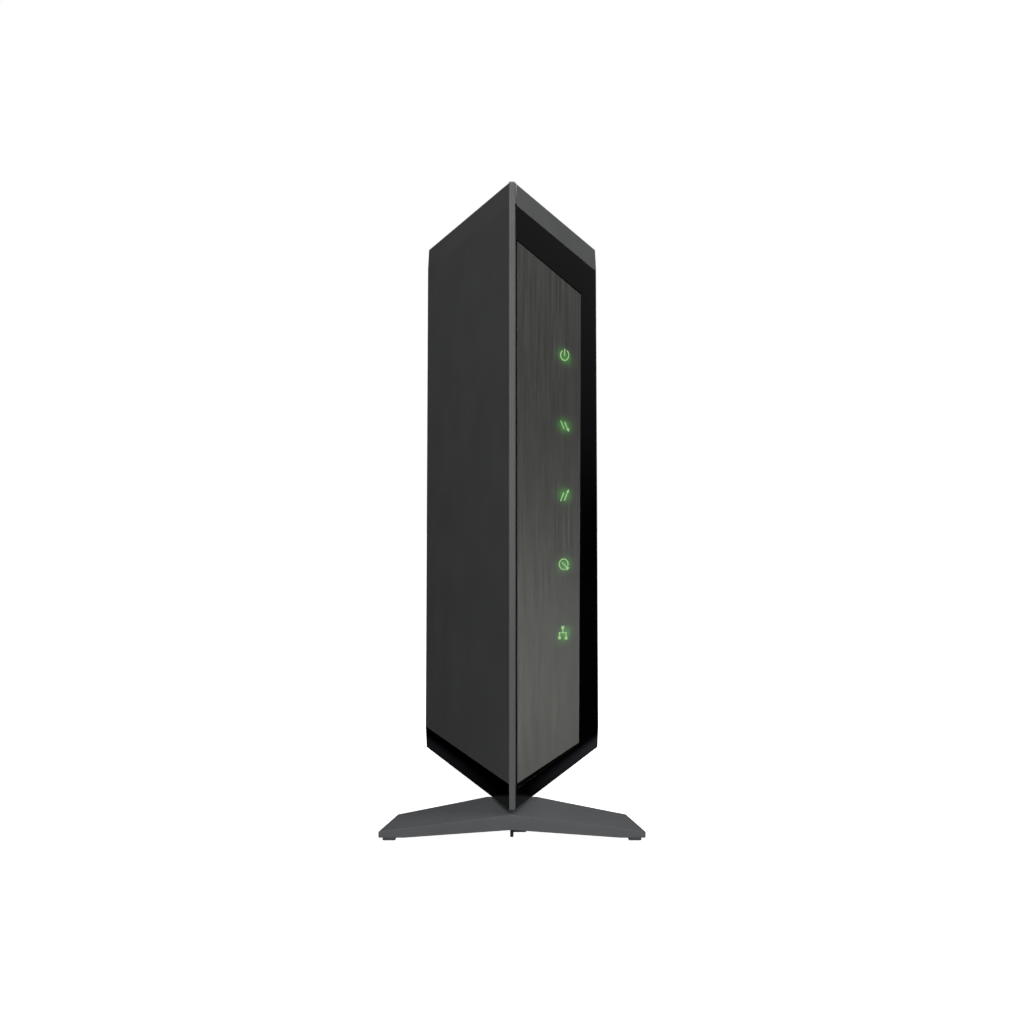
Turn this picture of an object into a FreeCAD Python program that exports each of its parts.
import FreeCAD, Part
import Sketcher
import math
import os
from types import SimpleNamespace

# A cable modem: a tall two-shell housing on a pull-off stand. Millimetres, +Z up. The housing is a prism
# with a narrow ridge at the front, two flat faces that open towards the back, two short back facets and
# a narrow panel with the sockets. Depths are measured back from the ridge, and every piece is placed by
# ridge_y, so that the origin is on the ground under the middle of the whole object.

doc = FreeCAD.newDocument("cable_modem")
sheet = doc.addObject("Spreadsheet::Sheet", "sizes")

SIZES = {
    # the housing
    "overall_height": 213.4, "housing_base": 9.4, "ridge_y": -68.0, "ridge_half": 1.0,
    "face_angle": 17.69, "back_angle": 28.6, "corner_depth_high": 104.3, "corner_depth_low": 108.4,
    "back_depth": 128.0, "wall": 2.2, "seam_gap": 0.45, "rim": 0.3, "ridge_deep": 7.0, "ridge_ease": 0.6,
    # the shallow bands along its top and bottom edges
    "band_high": 8.1, "band_low": 8.8, "band_inset_high": 0.35, "band_inset_low": 0.4,
    # the right face: black frame, metal panel and the wall behind them
    "frame_low": 16.2, "frame_high": 206.0, "frame_high_far": 204.5, "frame_thick": 2.0,
    "frame_margin": 0.7, "face_stack": 3.9, "panel_near": 2.4, "panel_far_high": 85.2,
    "panel_far_low": 82.0, "panel_high_near": 194.5, "panel_high_far": 190.9, "panel_low": 17.9,
    "panel_low_far": 17.1, "panel_thick": 0.9, "panel_gap": 0.4,
    # the five lights
    "light_depth": 61.0, "light_first": 61.6, "light_pitch": 25.7, "light_wide": 9.0, "light_tall": 5.4,
    "guide_length": 6.0, "light_board_thick": 1.2,
    # the back panel and its ports, from the bottom up
    "panel_plate": 2.0, "panel_set_back": 0.6, "panel_clear": 0.15,
    "power_inlet_z": 31.0, "coax_z": 53.0, "network_z": 80.0, "reset_z": 101.0, "switch_z": 119.0,
    # the main board, upright and square to the back panel
    "board_face": -7.0, "board_thick": 1.6, "board_front": 34.0, "board_back": 124.5,
    "board_low": 20.0, "board_high": 199.0, "screw_hole": 1.5,
    # the aerial socket: thread, its full length clear of the nut, and the core under the nut
    "coax_major": 4.76, "coax_core": 4.5, "coax_thread": 7.1, "coax_bore": 3.3, "nut_thick": 2.0,
    # the stand
    "wing_front": -1.0, "wing_back": 22.0, "wing_half_front": 43.2, "wing_half_back": 38.9,
    "wing_tip_front": 3.1, "wing_tip_back": 3.1, "wing_peak": 8.35, "saddle": 9.1,
    "saddle_half": 8.5, "arch": 3.2, "arch_peak": 3.6, "pad_thick": 1.1, "spine_half": 5.8,
    "foot_half": 17.0, "foot_front": 90.0, "foot_back": 108.0, "post_top": 15.0,
}


class Size:
    """A dimension from the sheet, or sums of them: its value now, and the expression that keeps it true."""

    def __init__(self, value, text):
        self.value = value
        self.text = text

    def __add__(self, other):
        other = size(other)
        return Size(self.value + other.value, f"({self.text} + {other.text})")

    def __sub__(self, other):
        other = size(other)
        return Size(self.value - other.value, f"({self.text} - {other.text})")

    def __mul__(self, other):
        other = size(other)
        return Size(self.value * other.value, f"({self.text} * {other.text})")

    def __truediv__(self, other):
        other = size(other)
        return Size(self.value / other.value, f"({self.text} / {other.text})")

    def __radd__(self, other):
        return size(other) + self

    def __rsub__(self, other):
        return size(other) - self

    def __rmul__(self, other):
        return size(other) * self

    def __neg__(self):
        return size(0) - self


def size(number):
    return number if isinstance(number, Size) else Size(float(number), repr(float(number)))


def sine(angle):
    return Size(math.sin(math.radians(angle.value)), f"sin({angle.text})")


def cosine(angle):
    return Size(math.cos(math.radians(angle.value)), f"cos({angle.text})")


for row, (name, number) in enumerate(SIZES.items(), start=1):
    sheet.set(f"A{row}", name)
    sheet.set(f"B{row}", str(number))
    sheet.setAlias(f"B{row}", name)
doc.recompute()
s = SimpleNamespace(**{name: Size(number, f"sizes.{name}") for name, number in SIZES.items()})

pieces = {}      # label of each finished sub-part: its object


def keep(label, thing):
    thing.Label = label
    pieces[label] = thing
    return thing


def bind(thing, path, amount):
    thing.setExpression(path, size(amount).text)


def place(thing, x=0, y=0, z=0):
    """Put a piece at x, at a depth behind the ridge, and at a height."""
    bind(thing, "Placement.Base.x", x)
    bind(thing, "Placement.Base.y", s.ridge_y + y)
    bind(thing, "Placement.Base.z", z)


# ---- primitives: each takes (low, high) pairs along x, depth and height ----

def block(label, x, y, z):
    box = doc.addObject("Part::Box", label)
    for side, (low, high) in zip(("Length", "Width", "Height"), (x, y, z)):
        bind(box, side, size(high) - low)
    place(box, x[0], y[0], z[0])
    return box


def rod(label, radius, x, y, z):
    """A cylinder along the one axis that is given as a (low, high) pair."""
    turns = {"x": ((0, 1, 0), 90), "y": ((1, 0, 0), -90), "z": ((0, 0, 1), 0)}
    along = "x" if isinstance(x, tuple) else "y" if isinstance(y, tuple) else "z"
    low, high = {"x": x, "y": y, "z": z}[along]
    cylinder = doc.addObject("Part::Cylinder", label)
    axis, angle = turns[along]
    cylinder.Placement = FreeCAD.Placement(FreeCAD.Vector(), FreeCAD.Rotation(FreeCAD.Vector(*axis), angle))
    bind(cylinder, "Radius", radius)
    bind(cylinder, "Height", size(high) - low)
    starts = {"x": x, "y": y, "z": z}
    starts[along] = low
    place(cylinder, starts["x"], starts["y"], starts["z"])
    return cylinder


def fuse(label, *solids):
    union = doc.addObject("Part::MultiFuse", label)
    union.Shapes = list(solids)
    return union


def group(label, solids):
    together = doc.addObject("Part::Compound", label)
    together.Links = list(solids)
    return together


def cut(label, base, *tools):
    result = doc.addObject("Part::Cut", label)
    result.Base = base
    result.Tool = tools[0] if len(tools) == 1 else group(label + "_tools", tools)
    return result


def softened(label, solid, radius, wanted):
    """Round the edges that wanted() picks."""
    doc.recompute()
    rounded = doc.addObject("Part::Fillet", label)
    rounded.Base = solid
    numbers = [i for i, edge in enumerate(solid.Shape.Edges, start=1) if wanted(edge)]
    rounded.Edges = [(i, radius, radius) for i in numbers]
    return rounded


# ---- sketches ----

class Drawing:
    """A sketch on one of its body's own origin planes, every point dimensioned from the sheet."""

    def __init__(self, body, name, plane, offset=0):
        self.sketch = body.newObject("Sketcher::SketchObject", name)
        datum = [item for item in body.Origin.OriginFeatures if item.Role == plane][0]
        self.sketch.AttachmentSupport = [(datum, "")]
        self.sketch.MapMode = "FlatFace"
        bind(self.sketch, "AttachmentOffset.Base.z", offset)

    def fix(self, geometry, point, x, y):
        for kind, amount in (("DistanceX", size(x)), ("DistanceY", size(y))):
            rule = Sketcher.Constraint(kind, -1, 1, geometry, point, amount.value)
            number = self.sketch.addConstraint(rule)
            self.sketch.setExpression(f"Constraints[{number}]", amount.text)

    def circle(self, x, y, radius):
        centre = FreeCAD.Vector(size(x).value, size(y).value, 0)
        arc = Part.Circle(centre, FreeCAD.Vector(0, 0, 1), size(radius).value)
        geometry = self.sketch.addGeometry(arc)
        self.fix(geometry, 3, x, y)
        number = self.sketch.addConstraint(Sketcher.Constraint("Radius", geometry, size(radius).value))
        self.sketch.setExpression(f"Constraints[{number}]", size(radius).text)

    def polygon(self, points):
        """A closed outline. A third number in a point makes the edge that leaves it an arc of that radius."""
        corners = [(size(point[0]), size(point[1])) for point in points]
        sides = []
        for index, point in enumerate(points):
            start = FreeCAD.Vector(corners[index][0].value, corners[index][1].value, 0)
            following = corners[(index + 1) % len(points)]
            end = FreeCAD.Vector(following[0].value, following[1].value, 0)
            if len(point) == 2:
                sides.append((self.sketch.addGeometry(Part.LineSegment(start, end)), 1, 2))
                continue
            chord = end - start
            bulge = point[2] - math.sqrt(point[2] ** 2 - (chord.Length / 2) ** 2)
            outward = FreeCAD.Vector(chord.y, -chord.x, 0).normalize()
            middle = (start + end) * 0.5 + outward * bulge
            number = self.sketch.addGeometry(Part.Arc(start, middle, end))
            sides.append((number, 1, 2))
            self.sketch.addConstraint(Sketcher.Constraint("Radius", number, float(point[2])))
        for index, side in enumerate(sides):
            following = sides[(index + 1) % len(sides)]
            self.sketch.addConstraint(Sketcher.Constraint("Coincident", side[0], side[2], following[0], 1))
            self.fix(side[0], 1, *corners[index])

    def rectangle(self, x, y):
        self.polygon([(x[0], y[0]), (x[1], y[0]), (x[1], y[1]), (x[0], y[1])])


def new_body(label):
    body = doc.addObject("PartDesign::Body", label)
    place(body)
    return body


def pad(body, drawing, length, back=False):
    feature = body.newObject("PartDesign::Pad", drawing.sketch.Name + "_pad")
    feature.Profile = drawing.sketch
    feature.Reversed = back
    bind(feature, "Length", length)
    return feature


def pocket(body, drawing, length, back=False):
    feature = body.newObject("PartDesign::Pocket", drawing.sketch.Name + "_pocket")
    feature.Profile = drawing.sketch
    feature.Reversed = back
    bind(feature, "Length", length)
    return feature


def loft(body, kind, drawings):
    feature = body.newObject("PartDesign::" + kind, drawings[0].sketch.Name + "_loft")
    feature.Profile = drawings[0].sketch
    feature.Sections = [drawing.sketch for drawing in drawings[1:]]
    feature.Ruled = True
    return feature


# ---- the housing's plan at one height ----

def side_corner(height, front_inset, back_inset):
    """Where a flat face meets a back facet, moved in by so much from each of them."""
    rise = (height - s.housing_base) / (s.overall_height - s.housing_base)
    depth = s.corner_depth_low + (s.corner_depth_high - s.corner_depth_low) * rise
    across = s.ridge_half + depth * sine(s.face_angle) / cosine(s.face_angle)
    spread = sine(s.face_angle + s.back_angle)
    move_x = (front_inset * sine(s.back_angle) + back_inset * sine(s.face_angle)) / spread
    move_y = (back_inset * cosine(s.face_angle) - front_inset * cosine(s.back_angle)) / spread
    return across - move_x, depth - move_y


def back_corner(height, back_inset, depth):
    """Where a back facet reaches the given depth."""
    across, start = side_corner(height, size(0), size(back_inset))
    return across - (depth - start) * sine(s.back_angle) / cosine(s.back_angle), depth


def nose(across, inset):
    """Depth at which a flat face, moved in by inset, is this far from the middle."""
    return ((across - s.ridge_half) * cosine(s.face_angle) + inset) / sine(s.face_angle)


def half_plan(sign, seam, height, front_inset, back_inset, end):
    """One shell's outline at a height: ridge land, flat face, back facet and the cut down the middle."""
    near = s.ridge_half if sign < 0 else size(seam)
    corner = side_corner(height, size(front_inset), size(back_inset))
    last = back_corner(height, size(back_inset), end)
    points = [(sign * near, nose(near, size(front_inset))), (sign * corner[0], corner[1]),
              (sign * last[0], last[1]), (seam, end)]
    if sign < 0:
        points.append((seam, nose(near, size(front_inset))))
    return points


def shell(label, sign, seam, front_wall):
    """Half of the housing: the outside is lofted through the bands, and the hollow is cut from it."""
    body = new_body(label)
    low, high = s.housing_base, s.overall_height
    levels = [(low, s.band_inset_low + s.rim), (low + s.rim, s.band_inset_low), (low + s.band_low, 0),
              (high - s.band_high, 0), (high - s.rim, s.band_inset_high), (high, s.band_inset_high + s.rim)]
    outside = []
    for number, (height, inset) in enumerate(levels):
        drawing = Drawing(body, f"{label}_level_{number}", "XY_Plane", height)
        drawing.polygon(half_plan(sign, seam, height, inset, inset, s.back_depth))
        outside.append(drawing)
    loft(body, "AdditiveLoft", outside)
    hollow = []
    beyond = seam - sign * 1.0
    for number, height in enumerate((low + s.wall, high - s.wall)):
        drawing = Drawing(body, f"{label}_hollow_{number}", "XY_Plane", height)
        near = size(1.0)
        corner = side_corner(height, size(front_wall), s.wall)
        last = back_corner(height, s.wall, s.back_depth + 1)
        start = nose(near, size(front_wall))
        drawing.polygon([(beyond, start), (sign * near, start), (sign * corner[0], corner[1]),
                         (sign * last[0], last[1]), (beyond, last[1])])
        hollow.append(drawing)
    loft(body, "SubtractiveLoft", hollow)
    return body


VENT_COUNT = 10
VENT_PITCH = 5.6


def cut_vents(body, label, sign):
    """A row of slots through the top wall and another through the bottom wall."""
    for end, height, back in (("top", s.overall_height, False), ("bottom", s.housing_base, True)):
        drawing = Drawing(body, f"{label}_{end}_vents", "XY_Plane", height)
        for number in range(VENT_COUNT):
            depth = 50 + VENT_PITCH * number
            if end == "bottom" and 88 < depth:
                continue
            near = 6.5
            far = 12.5 + number * 0.9 if end == "top" else 13.0
            drawing.rectangle(tuple(sorted((sign * near, sign * far))), (depth, depth + 2.2))
        pocket(body, drawing, s.wall + 0.6, back=back)


def add_screw_bosses(body, label, sign):
    """A block behind each end of the back panel, with the pilot hole for a housing screw."""
    front = s.back_depth - s.panel_set_back - s.panel_plate - s.panel_clear
    for end, x, low, high in (("high", 12.5, 201.0, s.overall_height - s.wall + 0.5),
                              ("low", 15.0, s.housing_base + s.wall - 0.5, 21.0)):
        drawing = Drawing(body, f"{label}_boss_{end}", "XZ_Plane", -front)
        drawing.rectangle(tuple(sorted((sign * (x - 3.5), sign * (x + 3.5)))), (low, high))
        pad(body, drawing, 13.0)
        hole = Drawing(body, f"{label}_pilot_{end}", "XZ_Plane", -front)
        hole.circle(sign * x, SCREW_Z[end], 1.2)
        pocket(body, hole, 10.5, back=True)


SCREW_Z = {"high": 204.5, "low": 17.5}
SCREW_X = {"high": 12.5, "low": 15.0}
BOARD_SCREWS = [(42.0, 34.0, 5.0), (42.0, 186.0, 5.0), (97.0, 28.0, 22.3), (97.0, 190.0, 22.3)]
SOCKETS = {"front": (4.6, 35.6, 48.4), "back": (5.0, 96.0, 102.4)}      # half width, from, to


def cut_sockets(body, label):
    """Openings in the floor of the housing for the stand's two posts."""
    for name, (half, near, far) in SOCKETS.items():
        drawing = Drawing(body, f"{label}_{name}_socket", "XY_Plane", s.housing_base)
        drawing.rectangle((-half, half), (near, far))
        pocket(body, drawing, s.wall + 0.6, back=True)


def left_shell():
    body = shell("left_shell", -1, s.ridge_half, s.wall)
    tongue = Drawing(body, "seam_tongue", "XY_Plane", s.housing_base + s.wall)      # closes the seam to light
    tongue.rectangle((-4.2, 1.55), (15.0, 16.2))
    pad(body, tongue, s.overall_height - s.housing_base - 2 * s.wall)
    low, high, ease = s.housing_base, s.overall_height, s.ridge_ease
    ridge = Drawing(body, "ridge_strip", "YZ_Plane", -s.ridge_half)        # the strip keeps its full depth
    ridge.polygon([(0, low + ease), (ease, low), (s.ridge_deep, low), (s.ridge_deep, high), (ease, high),
                   (0, high - ease)])
    pad(body, ridge, 2 * s.ridge_half)
    lip = Drawing(body, "seam_lip", "XY_Plane", low + 0.5)                 # stops light through the seam
    lip.rectangle((0.5, s.ridge_half + s.seam_gap - 0.07), (3.4, s.ridge_deep))
    pad(body, lip, high - low - 1)
    add_screw_bosses(body, "left", -1)
    for number, (depth, height, length) in enumerate(BOARD_SCREWS):
        face = s.board_face - s.board_thick - 0.05
        post = Drawing(body, f"board_post_{number}", "YZ_Plane", face)
        post.circle(depth, height, 3.0)
        pad(body, post, length - 0.3, back=True)
        hole = Drawing(body, f"board_pilot_{number}", "YZ_Plane", face)
        hole.circle(depth, height, 1.25)
        pocket(body, hole, 4.2)
    cut_vents(body, "left", -1)
    cut_sockets(body, "left")
    return keep("left_shell", body)


# ---- the right face has its own frame: x along the face from the ridge, -y outward, z up ----

def face_body(label):
    body = doc.addObject("PartDesign::Body", label)
    turned = FreeCAD.Rotation(FreeCAD.Vector(0, 0, 1), 90 - s.face_angle.value)
    body.Placement = FreeCAD.Placement(FreeCAD.Vector(), turned)
    bind(body, "Placement.Rotation.Angle", 90 - s.face_angle)
    place(body, s.ridge_half, 0, 0)
    return body


def frame_far(height, margin):
    """How far along the right face its raking back edge is, less a margin."""
    return side_corner(height, size(0), size(0))[1] / cosine(s.face_angle) - margin


def frame_outline(margin, grow):
    """The black frame: upright at the ridge, raking at the back, its top edge falling a little."""
    near = s.seam_gap / sine(s.face_angle)
    low, high = s.frame_low - grow, s.frame_high_far + grow
    return [(near, low), (frame_far(low, margin), low), (frame_far(high, margin), high),
            (near, s.frame_high + grow)]


def panel_outline(grow):
    """The metal panel: square to the ridge, its other three edges slightly raked."""
    return [(s.panel_near - grow, s.panel_low - grow), (s.panel_far_low + grow, s.panel_low_far - grow),
            (s.panel_far_high + grow, s.panel_high_far + grow),
            (s.panel_near - grow, s.panel_high_near + grow)]


def light_heights():
    return [s.light_first + s.light_pitch * number for number in range(5)]


def light_openings(body, label, depth, grow):
    """Five openings in a row, one behind each icon."""
    drawing = Drawing(body, label, "XZ_Plane", -depth)
    for height in light_heights():
        wide, tall = s.light_wide / 2 + grow, s.light_tall / 2 + grow
        drawing.rectangle((s.light_depth - wide, s.light_depth + wide), (height - tall, height + tall))
    return drawing


def right_shell():
    blank = shell("right_shell_blank", 1, s.ridge_half + s.seam_gap, s.face_stack)
    add_screw_bosses(blank, "right", 1)
    cut_vents(blank, "right", 1)
    cut_sockets(blank, "right")
    recess = face_body("right_face_recess")
    drawing = Drawing(recess, "recess_outline", "XZ_Plane", -(s.frame_thick + 0.1))
    outline = frame_outline(s.frame_margin, size(0))
    outline[0] = (-1.0, s.frame_low)
    outline[3] = (-1.0, s.frame_high)
    drawing.polygon(outline)
    pad(recess, drawing, s.frame_thick + 2)
    windows = face_body("right_face_windows")
    pad(windows, light_openings(windows, "window_outlines", s.face_stack + 1, 0.2), s.face_stack)
    return keep("right_shell", cut("right_shell", blank, fuse("right_face_cuts", recess, windows)))


def trimmed_at_seam(label, body, x):
    """Cut the near edge of a face piece square to the seam, so that it clears the left shell's nose."""
    beyond = block(label + "_seam", (-6.0, x), (-2.0, 20.0), (0, s.overall_height))
    return keep(label, cut(label, body, beyond))


def gloss_frame():
    body = face_body("gloss_frame_blank")
    drawing = Drawing(body, "frame_outline", "XZ_Plane", -s.frame_thick)
    drawing.polygon(frame_outline(s.frame_margin + 0.1, size(-0.1)))
    pad(body, drawing, s.frame_thick)
    bed = Drawing(body, "panel_bed", "XZ_Plane", 0)
    bed_points = panel_outline(s.panel_gap)
    bed_points[0] = (-1.0, bed_points[0][1])
    bed_points[3] = (-1.0, bed_points[3][1])
    bed.polygon(bed_points)
    pocket(body, bed, s.panel_thick + 0.1)
    pocket(body, light_openings(body, "frame_openings", size(0), 0.2), s.frame_thick + 1)
    return trimmed_at_seam("gloss_frame", body, s.ridge_half + s.seam_gap)


def light_panel():
    body = face_body("light_panel_blank")
    drawing = Drawing(body, "panel_outline", "XZ_Plane", -s.panel_thick)
    drawing.polygon(panel_outline(size(0)))
    pad(body, drawing, s.panel_thick)
    return trimmed_at_seam("light_panel", body, s.ridge_half + s.panel_near * sine(s.face_angle))


def lights():
    """Behind the panel: a clear guide for each icon, a lamp behind each guide, and their narrow board."""
    start = s.panel_thick + 0.1
    guides = face_body("light_guides")
    pad(guides, light_openings(guides, "guide_outlines", start + s.guide_length, 0), s.guide_length)
    keep("light_guides", guides)
    lamps = face_body("status_lamps")
    behind = start + s.guide_length + 0.4
    drawing = Drawing(lamps, "lamp_outlines", "XZ_Plane", -(behind + 1.5))
    for height in light_heights():
        drawing.rectangle((s.light_depth - 1.8, s.light_depth + 1.8), (height - 1.4, height + 1.4))
    pad(lamps, drawing, 1.5)
    keep("status_lamps", lamps)
    board = face_body("light_board")
    drawing = Drawing(board, "light_board_outline", "XZ_Plane", -(behind + 1.5 + s.light_board_thick))
    drawing.rectangle((s.light_depth - 8, s.light_depth + 8), (s.light_first - 10, light_heights()[4] + 10))
    pad(board, drawing, s.light_board_thick)
    keep("light_board", board)


# ---- the back panel ----

PANEL_FRONT = s.back_depth - s.panel_set_back - s.panel_plate
PANEL_BACK = s.back_depth - s.panel_set_back


def rear_panel():
    body = new_body("rear_panel")
    low = s.housing_base + s.wall + s.panel_clear
    high = s.overall_height - s.wall - s.panel_clear
    low_half = back_corner(low, s.wall, PANEL_BACK)[0] - s.panel_clear
    high_half = back_corner(high, s.wall, PANEL_BACK)[0] - s.panel_clear
    plate = Drawing(body, "plate_outline", "XZ_Plane", -PANEL_BACK)
    plate.polygon([(-low_half, low), (low_half, low), (high_half, high), (-high_half, high)])
    pad(body, plate, s.panel_plate)
    ports = Drawing(body, "port_outlines", "XZ_Plane", -PANEL_BACK)
    ports.circle(0, s.power_inlet_z, 4.3)
    ports.circle(0, s.coax_z, 5.1)
    ports.rectangle((-7.2, 6.4), (s.network_z - 8.2, s.network_z + 8.2))
    ports.circle(0, s.reset_z, 0.8)
    ports.rectangle((-4.8, 4.8), (s.switch_z - 4.8, s.switch_z + 4.8))
    for end in ("high", "low"):
        for sign in (-1, 1):
            ports.circle(sign * SCREW_X[end], SCREW_Z[end], 1.7)
    pocket(body, ports, s.panel_plate + 1, back=True)
    vents = Drawing(body, "panel_vents", "XZ_Plane", -PANEL_BACK)
    for number in range(11):
        height = 148.0 + 4.2 * number
        vents.rectangle((-13.0, 13.0), (height, height + 1.8))
    pocket(body, vents, s.panel_plate + 1, back=True)
    return keep("rear_panel", body)


def screws():
    """Pan-head screws: four through the back panel into the shells, four through the main board."""
    housing = []
    for end in ("high", "low"):
        for sign in (-1, 1):
            x, z = sign * SCREW_X[end], SCREW_Z[end]
            name = f"housing_screw_{end}_{'right' if sign > 0 else 'left'}"
            head = rod(name + "_head", 2.7, x, (PANEL_BACK, PANEL_BACK + 1.5), z)
            shank = rod(name + "_shank", 1.1, x, (PANEL_BACK - 11, PANEL_BACK + 0.2), z)
            recess = (PANEL_BACK + 0.7, PANEL_BACK + 2)
            across = block(name + "_drive_across", (x - 1.5, x + 1.5), recess, (z - 0.3, z + 0.3))
            upright = block(name + "_drive_upright", (x - 0.3, x + 0.3), recess, (z - 1.5, z + 1.5))
            drive = fuse(name + "_drive", across, upright)
            housing.append(cut(name, fuse(name + "_blank", head, shank), drive))
    keep("housing_screws", group("housing_screws", housing))
    board = []
    for number, (depth, height, _) in enumerate(BOARD_SCREWS):
        head = rod(f"board_screw_head_{number}", 2.6, (s.board_face, s.board_face + 1.6), depth, height)
        reach = (s.board_face - 5.5, s.board_face + 0.1)
        shank = rod(f"board_screw_shank_{number}", 1.15, reach, depth, height)
        board.append(fuse(f"board_screw_{number}", head, shank))
    keep("board_screws", group("board_screws", board))


# ---- sockets on the back ----

def coax_connector():
    """Threaded aerial socket on a square base, its nut, and the insulator with its centre contact.

    The free end is as wide as the crest of its thread; under the nut it is as wide as the middle of the
    thread, which is where the nut's own thread meets it.
    """
    base = block("coax_base", (-7.0, 6.0), (109.0, PANEL_FRONT - 0.2), (s.coax_z - 6.5, s.coax_z + 6.5))
    thread_start = 137.0 - s.coax_thread
    core_length = rod("coax_core_length", s.coax_core, 0, (120.0, thread_start + 0.1), s.coax_z)
    thread = rod("coax_thread_length", s.coax_major, 0, (thread_start, 137.0), s.coax_z)
    bore = rod("coax_bore", s.coax_bore, 0, (124.0, 138.0), s.coax_z)
    keep("coax_socket", cut("coax_socket", fuse("coax_blank", base, core_length, thread), bore))
    core = rod("coax_core", 3.25, 0, (124.0, 136.4), s.coax_z)
    hole = rod("coax_core_hole", 0.9, 0, (126.0, 137.0), s.coax_z)
    keep("coax_insulator", cut("coax_insulator", core, hole))
    sleeve = rod("coax_sleeve", 0.85, 0, (126.0, 135.8), s.coax_z)
    opening = rod("coax_sleeve_hole", 0.5, 0, (128.0, 137.0), s.coax_z)
    keep("coax_contact", cut("coax_contact", sleeve, opening))
    body = new_body("coax_nut")
    hexagon = Drawing(body, "hexagon", "XZ_Plane", -(PANEL_BACK + s.nut_thick))
    flat = 5.6 / math.cos(math.radians(30))
    hexagon.polygon([(flat * math.cos(math.radians(60 * i)), s.coax_z + flat * math.sin(math.radians(60 * i)))
                     for i in range(6)])
    hexagon.circle(0, s.coax_z, s.coax_core + 0.05)
    pad(body, hexagon, s.nut_thick)
    keep("coax_nut", body)


def network_jack():
    """Shielded eight-way jack lying on its side: shield, insert, eight contacts and two lamp windows."""
    back = PANEL_BACK + 0.2
    low, high = s.network_z - 8.0, s.network_z + 8.0
    outside = block("jack_outside", (-7.0, 6.2), (106.0, back), (low, high))
    inside = block("jack_inside", (-6.5, 5.7), (106.5, back + 1), (low + 0.5, high - 0.5))
    keep("network_shield", cut("network_shield", outside, inside))
    core = block("insert_core", (-6.45, 5.65), (106.55, back - 0.1), (low + 0.55, high - 0.55))
    mouth = block("insert_mouth", (-4.6, 2.4), (115.0, back + 1), (s.network_z - 5.9, s.network_z + 5.9))
    latch = block("insert_latch", (2.3, 3.9), (115.0, back + 1), (s.network_z - 3.2, s.network_z + 3.2))
    notch = block("insert_notch", (3.8, 5.0), (115.0, back + 1), (s.network_z - 1.9, s.network_z + 1.9))
    combs = []
    windows = []
    for number in range(8):
        z = s.network_z + (number - 3.5) * 1.02
        combs.append(block(f"contact_{number}", (-4.55, -4.15), (115.05, 124.5), (z - 0.2, z + 0.2)))
    for side, sign in (("low", -1), ("high", 1)):
        near, far = sorted((sign * 4.4, sign * 7.0))
        span = (s.network_z + near, s.network_z + far)
        windows.append(block(f"lamp_window_{side}", (2.9, 5.0), (118.0, back - 0.1), span))
    cavity = fuse("insert_cavity", mouth, latch, notch)
    keep("network_lights", group("network_lights", windows))
    pockets = group("lamp_pockets", [block(f"lamp_pocket_{side}", (2.85, 5.05), (117.95, back),
                                           (s.network_z + near, s.network_z + far))
                                     for side, near, far in (("low", -7.05, -4.35), ("high", 4.35, 7.05))])
    keep("network_insert", cut("network_insert", cut("insert_blank", core, cavity), pockets))
    keep("network_contacts", group("network_contacts", combs))


def power_inlet():
    """Round low-voltage inlet: body with its collar, the centre pin and the side spring."""
    back = PANEL_BACK
    span = (s.power_inlet_z - 4.5, s.power_inlet_z + 4.5)
    base = block("inlet_base", (-6.95, 4.5), (113.0, PANEL_FRONT - 0.2), span)
    collar = rod("inlet_collar", 4.15, 0, (120.0, back), s.power_inlet_z)
    bore = rod("inlet_bore", 2.85, 0, (117.0, back + 1), s.power_inlet_z)
    keep("inlet_body", cut("inlet_body", fuse("inlet_blank", base, collar), bore))
    shaft = rod("inlet_pin_shaft", 1.0, 0, (117.0, back - 1.4), s.power_inlet_z)
    tip = doc.addObject("Part::Cone", "inlet_pin_tip")
    tip.Placement = FreeCAD.Placement(FreeCAD.Vector(), FreeCAD.Rotation(FreeCAD.Vector(1, 0, 0), -90))
    bind(tip, "Radius1", 1.0)
    bind(tip, "Radius2", 0.6)
    bind(tip, "Height", 0.6)
    place(tip, 0, back - 1.4, s.power_inlet_z)
    keep("inlet_pin", fuse("inlet_pin", shaft, tip))
    keep("inlet_spring", block("inlet_spring", (-0.8, 0.8), (117.1, 123.0),
                               (s.power_inlet_z + 2.25, s.power_inlet_z + 2.6)))


def switches():
    """The push switch with its square cap, and the reset switch behind its pinhole."""
    x, z = 0, s.switch_z
    body = block("switch_case", (-7.0, 4.0), (104.0, 117.0), (z - 5, z + 5))
    bore = block("switch_bore", (-2.0, 2.0), (109.0, 118.0), (z - 2.0, z + 2.0))
    keep("power_switch", cut("power_switch", body, bore))
    stem = block("button_stem", (-1.7, 1.7), (112.0, 121.0), (z - 1.7, z + 1.7))
    flange = block("button_flange", (-5.6, 5.6), (120.6, PANEL_FRONT - 0.3), (z - 5.6, z + 5.6))
    cap = block("button_cap", (-4.4, 4.4), (PANEL_FRONT - 1, PANEL_BACK + 2.4), (z - 4.4, z + 4.4))
    outer = (PANEL_BACK + s.ridge_y + 2).value
    rounded = softened("button_rounded", cap, 0.7, lambda edge: edge.BoundBox.YMax > outer)
    keep("power_button", fuse("power_button", stem, flange, rounded))
    z = s.reset_z
    body = block("reset_case", (-7.0, 3.0), (116.5, 121.5), (z - 3, z + 3))
    bore = rod("reset_bore", 1.5, 0, (118.5, 122.0), z)
    keep("reset_switch", cut("reset_switch", body, bore))
    keep("reset_button", rod("reset_button", 1.2, 0, (119.6, 123.6), z))


# ---- the electronics ----

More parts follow.
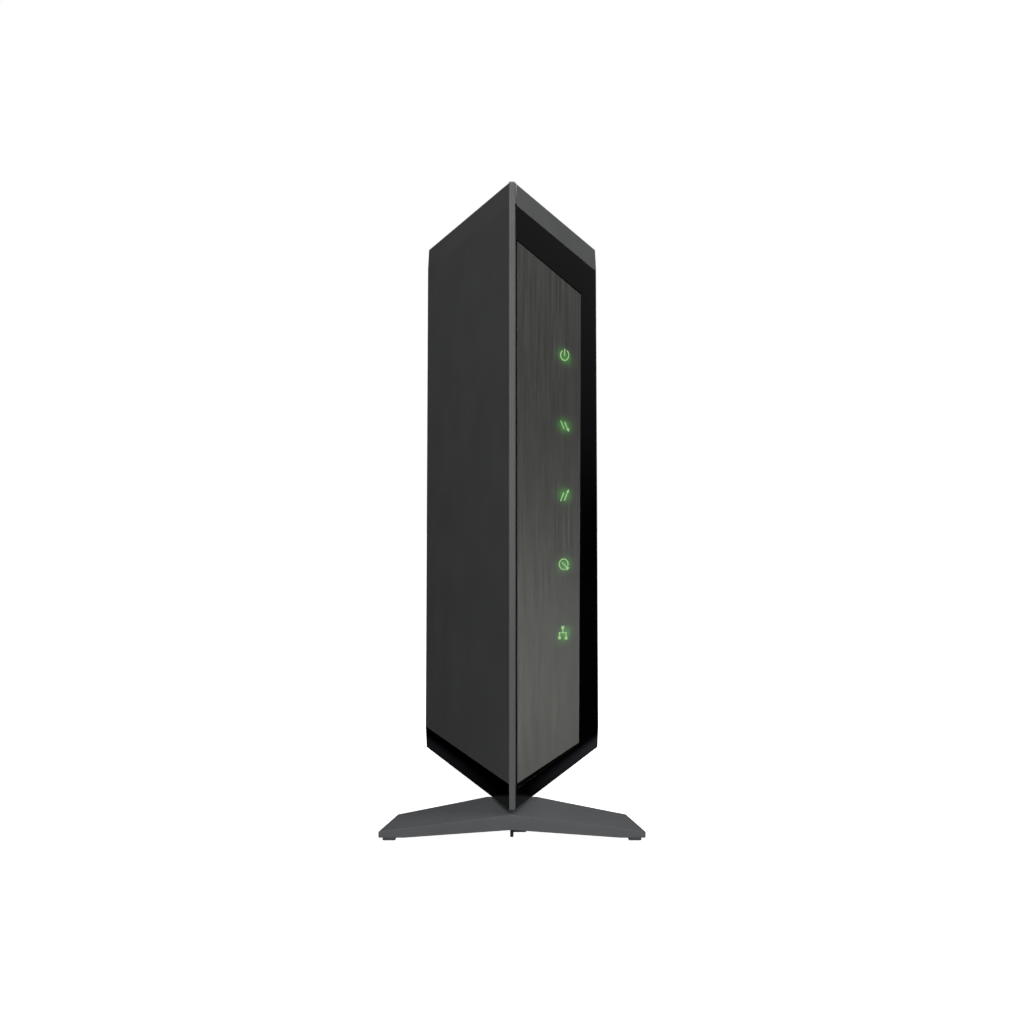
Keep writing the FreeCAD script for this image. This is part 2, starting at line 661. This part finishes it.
def electronics():
    left = s.board_face - s.board_thick
    board = block("board_blank", (left, s.board_face), (s.board_front, s.board_back),
                  (s.board_low, s.board_high))
    holes = [rod(f"board_hole_{number}", s.screw_hole, (left - 1, s.board_face + 1), depth, height)
             for number, (depth, height, _) in enumerate(BOARD_SCREWS)]
    keep("main_board", cut("main_board", board, *holes))
    right = s.board_face

    def part(label, x, y, z, face=right):
        """A piece standing on the right side of the board, x high."""
        return keep(label, block(label, (face, face + x), y, z))

    frame = block("shield_outside", (right, right + 6), (78.0, 106.0), (40.0, 68.0))
    room = block("shield_inside", (right - 1, right + 7), (78.5, 105.5), (40.5, 67.5))
    keep("shield_frame", cut("shield_frame", frame, room))
    lid = block("shield_lid", (right + 5.7, right + 6.3), (77.6, 106.4), (39.6, 68.4))
    skirt = block("shield_skirt", (right + 2.5, right + 6.0), (77.6, 106.4), (39.6, 68.4))
    hollow = block("shield_cover_inside", (right + 2.0, right + 6.05), (77.95, 106.05), (39.95, 68.05))
    keep("shield_cover", cut("shield_cover", fuse("shield_cover_blank", lid, skirt), hollow))
    part("tuner_chip", 1.2, (88.0, 95.0), (50.0, 57.0))
    part("network_transformer", 5.5, (84.0, 100.0), (74.0, 86.0))
    part("memory_chip", 1.1, (62.0, 72.0), (112.0, 124.0))
    part("flash_chip", 1.6, (62.0, 70.0), (92.0, 98.0))
    part("clock_crystal", 1.2, (58.0, 63.0), (132.0, 135.2))
    cans = [rod(f"capacitor_{number}", 4.0, (right, right + 11), 66.0 + 10 * number, 30.0)
            for number in range(3)]
    keep("capacitors", group("capacitors", cans))
    coils = [block(f"coil_{number}", (right, right + 4), (60.0 + 9 * number, 66.5 + 9 * number), (36.0, 42.5))
             for number in range(2)]
    keep("power_coils", group("power_coils", coils))
    keep("modem_chip", block("modem_chip", (left - 1.8, left), (82.0, 102.0), (116.0, 136.0)))
    keep("thermal_pad", block("thermal_pad", (left - 2.6, left - 1.8), (83.0, 101.0), (117.0, 135.0)))
    sink = new_body("heat_sink")
    comb = Drawing(sink, "fin_outline", "XY_Plane", 108.0)
    root, crown, base = left - 2.6, left - 12.0, left - 4.6
    first, fins, pitch, thick = 77.0, 8, 4.2, 1.1
    last = first + pitch * (fins - 1)
    outline = [(root, first), (crown, first), (crown, first + thick), (base, first + thick)]
    for number in range(1, fins - 1):
        start = first + pitch * number
        outline += [(base, start), (crown, start), (crown, start + thick), (base, start + thick)]
    outline += [(base, last), (crown, last), (crown, last + thick), (root, last + thick)]
    comb.polygon(outline)
    pad(sink, comb, 36.0)
    keep("heat_sink", sink)


# ---- the stand ----

def wing_outline(depth_name):
    """The wing bar's section at its front or back edge: a low roof over a shallow peaked arch."""
    front = depth_name == "front"
    tip = s.wing_half_front if front else s.wing_half_back
    tip_top = s.wing_tip_front if front else s.wing_tip_back
    peak = s.wing_peak if front else s.saddle
    shoulder = peak - (peak - tip_top) * s.saddle_half / tip if front else peak
    foot = tip - 8.2
    return [(0, peak), (-s.saddle_half, shoulder), (-tip, tip_top), (-tip, s.pad_thick),
            (-foot, s.pad_thick), (0, s.arch_peak), (foot, s.pad_thick), (tip, s.pad_thick),
            (tip, tip_top), (s.saddle_half, shoulder)]


def stand():
    body = new_body("stand")
    sections = []
    for name, depth in (("front", s.wing_front), ("back", s.wing_back)):
        drawing = Drawing(body, f"wing_{name}", "XZ_Plane", -depth)
        drawing.polygon(wing_outline(name))
        sections.append(drawing)
    loft(body, "AdditiveLoft", sections)
    spine = Drawing(body, "spine", "XY_Plane", s.arch)
    spine.rectangle((-s.spine_half, s.spine_half), (s.wing_back - 4, s.foot_front + 4))
    pad(body, spine, s.saddle - s.arch)
    foot = Drawing(body, "back_foot", "XZ_Plane", -s.foot_back)
    foot.polygon([(s.spine_half, s.saddle), (-s.spine_half, s.saddle), (-s.foot_half, 4.0),
                  (-s.foot_half, s.pad_thick), (9 - s.foot_half, s.pad_thick), (11 - s.foot_half, s.arch),
                  (s.foot_half - 11, s.arch), (s.foot_half - 9, s.pad_thick), (s.foot_half, s.pad_thick),
                  (s.foot_half, 4.0)])
    pad(body, foot, s.foot_back - s.foot_front)
    posts = Drawing(body, "posts", "XY_Plane", s.saddle - 1)
    posts.rectangle((-4.2, 4.2), (43.4, 48.0))
    posts.rectangle((-4.6, 4.6), (96.4, 102.0))
    pad(body, posts, s.post_top - s.saddle + 1)
    channel = Drawing(body, "catch_channel", "XY_Plane", 0)
    channel.rectangle((-6.4, 6.4), (4.4, 44.0))
    pocket(body, channel, 5.2, back=True)
    slot = Drawing(body, "catch_slot", "XY_Plane", 0)
    slot.rectangle((-3.4, 3.4), (35.8, 42.9))
    pocket(body, slot, 20.0, back=True)
    return keep("stand", body)


def stand_catch():
    """The sliding catch under the stand: plate, low finger tab at the front, and a nose beside the post."""
    plate = block("catch_plate", (-6.0, 6.0), (5.2, 41.0), (3.5, 4.9))
    tongue = block("catch_tongue", (0.0, 4.6), (0.6, 7.0), (2.5, 3.15))
    riser = block("catch_riser", (0.0, 4.6), (5.2, 7.0), (2.5, 3.6))
    tab = block("catch_tab", (-0.6, 0.5), (0.6, 3.0), (0.9, 3.15))
    nose_block = block("catch_nose", (-3.0, 3.0), (36.1, 38.1), (3.6, 13.5))
    return keep("stand_catch", fuse("stand_catch", plate, tongue, riser, tab, nose_block))


def rubber_feet():
    feet = []
    for sign in (-1, 1):
        side = "right" if sign > 0 else "left"
        front = tuple(sorted((sign * 37.7, sign * 41.9)))
        back = tuple(sorted((sign * 9.5, sign * 15.5)))
        feet.append(block(f"front_foot_{side}", front, (-0.4, 7.4), (0, s.pad_thick)))
        feet.append(block(f"back_foot_{side}", back, (98.0, 106.0), (0, s.pad_thick)))
    return keep("rubber_feet", group("rubber_feet", feet))


left_shell()
right_shell()
gloss_frame()
light_panel()
lights()
rear_panel()
screws()
coax_connector()
network_jack()
power_inlet()
switches()
electronics()
stand()
stand_catch()
rubber_feet()
doc.recompute()

# ---- checks and export ----

for thing in doc.Objects:
    if "Invalid" in thing.State or "Error" in thing.State:
        raise RuntimeError(f"{thing.Label} failed: {thing.State}")
    if thing.TypeId in ("PartDesign::Pocket", "PartDesign::SubtractiveLoft"):
        before = thing.BaseFeature.Shape.Volume
        if thing.Shape.Volume > before - 0.01:
            raise RuntimeError(f"{thing.Label} cuts nothing")
for label, thing in pieces.items():
    if thing.Shape.isNull() or not thing.Shape.isValid():
        raise RuntimeError(f"{label} has no valid shape")

os.makedirs("parts", exist_ok=True)
for label, thing in pieces.items():
    thing.Shape.exportStep(f"parts/{label}.step")
    box = thing.Shape.BoundBox
    print(f"{label:22s} solids {len(thing.Shape.Solids):2d}  x {box.XMin:7.2f} {box.XMax:7.2f}  "
          f"y {box.YMin:7.2f} {box.YMax:7.2f}  z {box.ZMin:7.2f} {box.ZMax:7.2f}")
